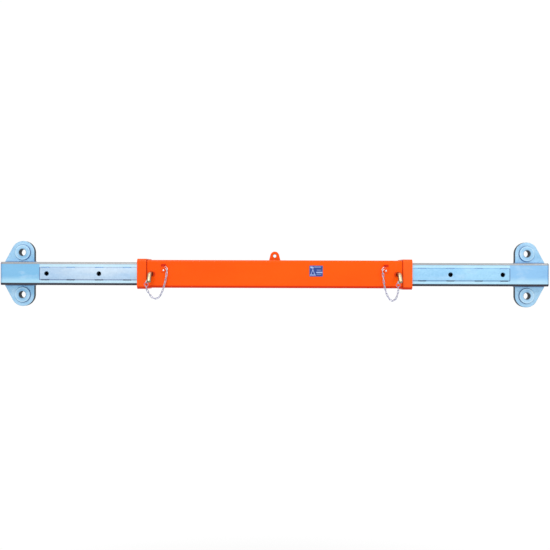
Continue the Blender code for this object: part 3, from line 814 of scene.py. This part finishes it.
for (side, sign), route in zip(SIDES, (LEFT_ROUTE, RIGHT_ROUTE)):
    ring_contact = (route[0][0], route[0][1], RING_CONTACT_Z)
    hole = (sign * HOLE_REST[0], HOLE_REST[1], HOLE_REST[2])
    joints, whole = even_points(smooth_line([ring_contact] + route + [hole]), LINKS + 1)
    swing = MOST_SWING * np.sin(np.linspace(0.0, np.pi, LINKS)) ** 0.7
    turns = swing + np.where(np.arange(LINKS) % 2 == 0, np.pi / 2, 0.0)
    links = [link_shape(joints[i], joints[i + 1], turns[i]) for i in range(LINKS)]
    chain = make_piece(f"chain_links_{side}", links[:-1], bright_zinc, None,
                       [f"chain_{side}"], 60.0)
    last = make_piece(f"chain_end_link_{side}", links[-1:], rivet_metal, "beam", (), 60.0)
    route_points, route_length = even_points(smooth_line(route), 60)
    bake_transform(chain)
    print(side, "chain", round(whole * 1000), "mm with its ends,", LINKS, "links")

# %% [markdown]
# ## The outer tube
# Square hollow section with round corners, cut square and drilled once near each end. Its outline is carried
# along X outside, rolled over the end faces and carried back inside, which makes one closed skin. The pin
# holes are drilled afterwards, because a hole through a curved skin is simplest to cut.

# %% Outer tube
low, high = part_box("outer_tube")
tube_half = high[0]
tube_section = section_along_x(2 * TUBE_HALF, 0.010, -tube_half, tube_half, 0.0008, 0.005)
tube = make_piece("tube_shell", [tube_section], enamel_tube, "beam", ["outer_tube"])
bore(tube, [(-PIN_STATION, 0.0), (PIN_STATION, 0.0)], -TUBE_HALF, -ARM_HALF, PIN_HOLE, 0.0007)
print("outer tube", round(2000 * tube_half), "mm long")

# %% [markdown]
# ## Collars and their welds
# A band of flat bar is bent round each end of the tube and welded on to stiffen the mouth. The fillet of weld
# metal along its inner edge is a round bead carried round the tube, swelling at each ripple.


# %% Collars
def bead_round_tube(x, side_length, corner, radius):
    """A rippled bead that follows a square section's outline at one x."""
    outline = rounded_square(side_length, side_length, corner)
    outline = np.vstack([outline, outline[:1]])
    line = even_points(np.column_stack([np.full(len(outline), x), outline]), 361)[0]
    wave = 1 + 0.10 * np.abs(np.sin(np.pi * np.arange(360) / 3.0))
    return sweep(line[:-1], radius * wave, 8, (1.0, 0.0, 0.0), True)


for side, sign in SIDES:
    low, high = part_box(f"collar_{side}")
    band = section_along_x(2 * COLLAR_HALF, 0.0148, low[0], high[0], 0.0012, 0.0049)
    make_piece(f"collar_band_{side}", [band], enamel_collar, "beam", [f"collar_{side}"])
    inner_x = sign * min(abs(low[0]), abs(high[0]))
    beads = [bead_round_tube(inner_x - sign * 0.0006, 0.1205, 0.0102, 0.0024)]
    # The weld's dark enamel is painted shade along the collar's inner edge.
    make_piece(f"collar_weld_{side}", beads, enamel_shaded_weld, "beam", (), 50.0)

# %% [markdown]
# ## Lug plates
# A lug is flame-cut plate: round at the eye and sloping down to its foot. Every point of its edge has a
# partner on the eye at the same angle, so one skin covers the edge, the faces and the bore. The same formula
# makes the round bosses and the small handling lug.


# %% Lug outlines
def lug_outline(eye, radius, foot_inner, foot_outer, base):
    """Dense points round a lug: up the outer slope, round the eye, down the inner edge and along the foot."""
    def touch(corner, turn):
        away = np.array(corner) - np.array(eye)
        return math.atan2(away[1], away[0]) + turn * math.acos(min(1.0, radius / np.linalg.norm(away)))

    start = touch((foot_outer, base), 1)
    end = touch((foot_inner, base), -1)
    end += 2 * math.pi if end < start else 0.0
    turns = np.linspace(start, end, 72)
    arc = np.column_stack([eye[0] + radius * np.cos(turns), eye[1] + radius * np.sin(turns)])
    share = np.linspace(0.0, 1.0, 24, endpoint=False)[:, None]
    inner, outer = np.array([foot_inner, base]), np.array([foot_outer, base])
    return np.vstack([outer + share * (arc[0] - outer), arc, arc[-1] + share[1:] * (inner - arc[-1]),
                      inner + share * (outer - inner)])


def drilled_plate(outline, eye, hole_radius, front, back, ease):
    """A plate along Y whose eye loop has a point at the same angle as each point of the outline."""
    away = outline - np.array(eye)
    inner = np.array(eye) + hole_radius * away / np.linalg.norm(away, axis=1)[:, None]
    return plate_along_y(outline, inner, front, back, ease)


def mirrored(shape, scale):
    """A shape with its points multiplied by a sign for each axis."""
    points, faces = shape
    return points * np.array(scale, float), faces


def round_outline(eye, radius, count=96):
    """Points round a circle in X and Z."""
    turns = full_turn(count)
    return np.column_stack([eye[0] + radius * np.cos(turns), eye[1] + radius * np.sin(turns)])


# %% Eye plates, bosses and their welds
FOOT_INNER = 1.050
FOOT_OUTER = 1.1797
FOOT_WELD_Z = 0.0504
BOSS_WELD_RADIUS = 0.0333


def boss_weld(face_y):
    """A rippled fillet round a boss, where it meets one face of the plate."""
    ring = round_outline(EYE, BOSS_WELD_RADIUS, 240)
    wave = 1 + 0.10 * np.abs(np.sin(full_turn(240) * 32))
    return sweep(np.insert(ring, 1, face_y, axis=1), 0.0017 * wave, 8, (0.0, 1.0, 0.0), True)


plate_outline = lug_outline(EYE, 0.050, FOOT_INNER, FOOT_OUTER, ARM_HALF)
plate_shape = drilled_plate(plate_outline, EYE, EYE_HOLE, -0.010, 0.010, 0.0016)
boss_shape = drilled_plate(round_outline(EYE, 0.033), EYE, EYE_HOLE, -0.0163, -0.0100, 0.0012)
welds = []
for depth in (-1.0, 1.0):
    welds.append(boss_weld(depth * 0.0102))
    welds.append(weld_bead((FOOT_INNER, depth * 0.0108, FOOT_WELD_Z), (1.176, depth * 0.0108, FOOT_WELD_Z),
                           0.0032, (0.0, depth, 1.0)))
welds.append(weld_bead((1.0494, -0.012, FOOT_WELD_Z), (1.0494, 0.012, FOOT_WELD_Z), 0.0030, (-1.0, 0.0, 1.0)))
for side, sign in SIDES:
    body = f"arm_{side}"
    for level, rise in LEVELS:
        scale = (sign, 1.0, rise)
        make_piece(f"lug_{level}_{side}", [mirrored(plate_shape, scale)], zinc_plate, body,
                   [f"eye_plate_{level}_{side}"])
        for face, depth in (("front", -1.0), ("back", 1.0)):
            cheek = mirrored(boss_shape, (sign, -depth, rise))
            make_piece(f"cheek_{face}_{level}_{side}", [cheek], zinc_plate, body,
                       [f"boss_{face}_{level}_{side}"])
        make_piece(f"lug_weld_{level}_{side}", [mirrored(shape, scale) for shape in welds], zinc_fillet,
                   body, (), 50.0)
print("four lugs with bosses, eyes", 2 * EYE[0], "m apart")

# %% [markdown]
# ## The handling lug
# A small eye on top of the tube, for a hand or a light hook when the bare beam is carried. It is painted with
# the tube, and its foot is welded along both faces.

# %% Handling lug
low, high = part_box("handling_lug")
small_outline = lug_outline(SMALL_EYE, 0.0195, -0.025, 0.025, TUBE_HALF)
small = drilled_plate(small_outline, SMALL_EYE, 0.007, low[1], high[1], 0.0014)
make_piece("carry_lug", [small], enamel_tube, "beam", ["handling_lug"])
feet = [weld_bead((-0.0245, depth, 0.0604), (0.0245, depth, 0.0604), 0.0026, (0.0, depth, 0.01))
        for depth in (low[1] - 0.0004, high[1] + 0.0004)]
make_piece("carry_lug_weld", feet, enamel_tube, "beam", (), 50.0)

# %% [markdown]
# ## The arms
# Each arm is a smaller hollow section with three pin holes along its front face. Flat bars take up the play
# in the outer tube: long ones front and back, and short ones above and below that stay inside it. They are
# held by short stitches of weld, because a full run would pull the arm out of straight. A plate closes the
# outer end.

# %% Arm tubes, end plates and guide strips
LONG_STITCHES = (0.635, 0.756, 0.878, 0.988)
SHORT_STITCHES = (0.520,)
ARM_CORNER = 0.008
FACES = {"front": ((0, -1, 0), (0, 0, 1)), "back": ((0, 1, 0), (0, 0, 1)),
         "top": ((0, 0, 1), (0, 1, 0)), "bottom": ((0, 0, -1), (0, 1, 0))}
for side, sign in SIDES:
    body = f"arm_{side}"
    stations = [(sign * (PIN_STATION + number * HOLE_PITCH), 0.0) for number in range(3)]
    low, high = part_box(f"arm_tube_{side}")
    shell = section_along_x(2 * ARM_HALF, ARM_CORNER, low[0], high[0], 0.0008, 0.005)
    arm = make_piece(f"arm_shell_{side}", [shell], zinc_arms[side], body, [f"arm_tube_{side}"])
    bore(arm, stations, -ARM_HALF, -0.0440, PIN_HOLE)
    low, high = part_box(f"arm_cap_{side}")
    end_plate = section_along_x(2 * ARM_HALF, ARM_CORNER, low[0], high[0], 0.0016)
    make_piece(f"end_plate_{side}", [end_plate], zinc_arms[side], body, [f"arm_cap_{side}"])
    stitches = []
    for face, (outward, upward) in FACES.items():
        low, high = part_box(f"strip_{face}_{side}")
        outline = rounded_square(high[0] - low[0], 0.050, 0.004) + ((low[0] + high[0]) / 2, 0.0)
        place = ARM_HALF * np.array(outward, float)
        bar = flat_bar(outline, place, 0.0008, 0.0043, outward, np.array(upward, float))
        strip = make_piece(f"guide_{face}_{side}", [bar], zinc_arms[side], body,
                           [f"strip_{face}_{side}"])
        if face == "front":
            bore(strip, stations, -0.0543, -0.0490, PIN_HOLE, 0.0006)
        for middle in LONG_STITCHES if face in ("front", "back") else SHORT_STITCHES:
            for edge in (-1, 1):
                start = place * 1.012 + edge * 0.0258 * np.array(upward, float)
                ends = [start + (sign * (middle + reach), 0.0, 0.0) for reach in (-0.018, 0.018)]
                stitches.append(weld_bead(*ends, 0.0030, outward))
    make_piece(f"stitch_welds_{side}", stitches, zinc_bead, body, (), 50.0)
print("arms with", len(FACES), "strips and", len(stitches), "stitches each")

# %% [markdown]
# ## The locking pins
# A pin is a length of bright bar, chamfered at its tip and bent hot into a handle. A small oval of wire is
# welded to the side of the handle, and a ring hangs in it. The bar is a round section carried along one line:
# straight, then an arc, then straight again.

# %% Pins, loops and rings
PIN_RADIUS = 0.009
TIP_RADII = [0.0078, 0.0082]
END_RADII = [0.0089, 0.0086, 0.0081]
LOOP_OFFSET = 0.01055
TIP_Y = -0.0553
BEND_Y = -0.0750
BEND_RADIUS = 0.016
HANDLE = 0.0293
BEND = math.radians(60)
DOWN = np.array([0.0, -math.cos(BEND), -math.sin(BEND)])
bend_end = np.array([0.0, BEND_Y - BEND_RADIUS * math.sin(BEND), -BEND_RADIUS * (1 - math.cos(BEND))])
handle_end = bend_end + HANDLE * DOWN


def pin_shape(x):
    """The bar's centre line and radius: a chamfered tip, an arc, and a handle with an eased end."""
    tip = [(0.0, TIP_Y - step, 0.0) for step in (0.0, 0.0006, 0.0022, 0.0030, 0.0100, 0.0170)]
    turns = np.linspace(0.0, BEND, 24)
    arc = np.column_stack([np.zeros(24), BEND_Y - BEND_RADIUS * np.sin(turns),
                           -BEND_RADIUS * (1 - np.cos(turns))])
    straight = [bend_end + reach * DOWN for reach in (0.004, 0.012, 0.020, 0.0270)]
    end = [handle_end - (0.0012 - rise_by) * DOWN for rise_by in (0.0, 0.0005, 0.0009, 0.0012)]
    points = np.vstack([tip, arc, straight, end]) + (x, 0.0, 0.0)
    plain = len(points) - len(TIP_RADII) - len(END_RADII)
    radii = TIP_RADII + [PIN_RADIUS] * plain + END_RADII
    return sweep(points, radii, 40, (1.0, 0.0, 0.0))


for side, sign in SIDES:
    body = f"pin_{side}"
    x = sign * PIN_STATION
    make_piece(f"pin_bar_{side}", [pin_shape(x)], yellow_zinc, body, [f"locking_pin_{side}"])
    centre = handle_end + (x - LOOP_OFFSET, 0.0, 0.0)
    wide = np.cross((1.0, 0.0, 0.0), DOWN)
    loop = sweep(oval_line(centre, 0.0066, 0.0038, DOWN, wide), 0.00125, 12, (1.0, 0.0, 0.0), True)
    make_piece(f"handle_loop_{side}", [loop], bright_zinc, body, [f"pin_loop_{side}"], 60.0)
    tack = centre + (0.0010, 0.0, 0.0) - 0.0052 * DOWN
    bead = weld_bead(tack - 0.0020 * wide, tack + 0.0020 * wide, 0.0015, (1.0, 0.0, 0.0), 0.0012)
    make_piece(f"handle_tack_{side}", [bead], yellow_zinc, body, (), 60.0)
    low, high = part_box(f"pin_ring_{side}")
    middle = (np.array(low) + np.array(high)) / 2
    turns = full_turn(56)
    line = middle + 0.0082 * np.column_stack([np.cos(turns), np.zeros(56), np.sin(turns)])
    ring = sweep(line, 0.0011, 12, (0.0, 1.0, 0.0), True)
    make_piece(f"chain_ring_{side}", [ring], ring_zinc, body, [f"pin_ring_{side}"], 60.0)
print("pins drawn back with tips at", TIP_Y)

# %% [markdown]
# ## Brackets and rivets
# The upper end of each chain hooks into the ear of a small angle bracket, riveted to the tube and painted
# with it. The rivet is left bright. The ear is a plate with a hole, made flat like a lug and then turned.


# %% Brackets
def turned_on_y(profile, x, z):
    """A shape turned about a line along Y, from pairs of radius and Y."""
    profile = np.asarray(profile)
    turns = full_turn(32)
    rows = np.stack([x + profile[:, :1] * np.cos(turns), np.repeat(profile[:, 1:], 32, 1),
                     z + profile[:, :1] * np.sin(turns)], -1)
    return skin(rows, False)


BRACKET_X = 0.469
EAR_HOLE = (-0.0685, 0.0330)
for side, sign in SIDES:
    low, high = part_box(f"chain_bracket_{side}")
    foot_outline = rounded_square(high[0] - low[0], high[2] - low[2], 0.0025, 4)
    foot_outline += ((low[0] + high[0]) / 2, (low[2] + high[2]) / 2)
    foot = flat_bar(foot_outline, TUBE_FRONT, 0.0006, 0.0028, (0, -1, 0), UP)
    ear_outline = rounded_square(0.0132, 0.0195, 0.0035, 6) + (-0.0677, 0.03225)
    points, faces = drilled_plate(ear_outline, EAR_HOLE, 0.00375, -0.00125, 0.00125, 0.0005)
    ear = (np.column_stack([points[:, 1] + sign * BRACKET_X, points[:, 0], points[:, 2]]), faces)
    make_piece(f"bracket_plate_{side}", [foot, ear], enamel_bracket, "beam",
               [f"chain_bracket_{side}"])
    low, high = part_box(f"bracket_rivet_{side}")
    centre = (np.array(low) + np.array(high)) / 2
    radii = 0.0042 * np.sin(np.linspace(0.06, np.pi / 2, 9))
    heights = low[1] + 0.0022 * (1 - np.sqrt(1 - (radii / 0.00421) ** 2))
    head = turned_on_y(np.column_stack([np.append(radii, 0.0041), np.append(heights, low[1] + 0.0026)]),
                       centre[0], centre[2])
    make_piece(f"rivet_head_{side}", [head], rivet_metal, "beam", [f"bracket_rivet_{side}"], 50.0)

# %% [markdown]
# ## The label plate
# The film is printed on a thin plate with round corners, stuck to the front face.

# %% Label plate
label_outline = rounded_square(2 * label_half[0], 2 * label_half[2], 0.003) + label_middle[[0, 2]]
plate = flat_bar(label_outline, TUBE_FRONT, 0.0003, 0.0011, (0, -1, 0), UP)
make_piece("label_plate", [plate], film, "beam", ["rating_label"])
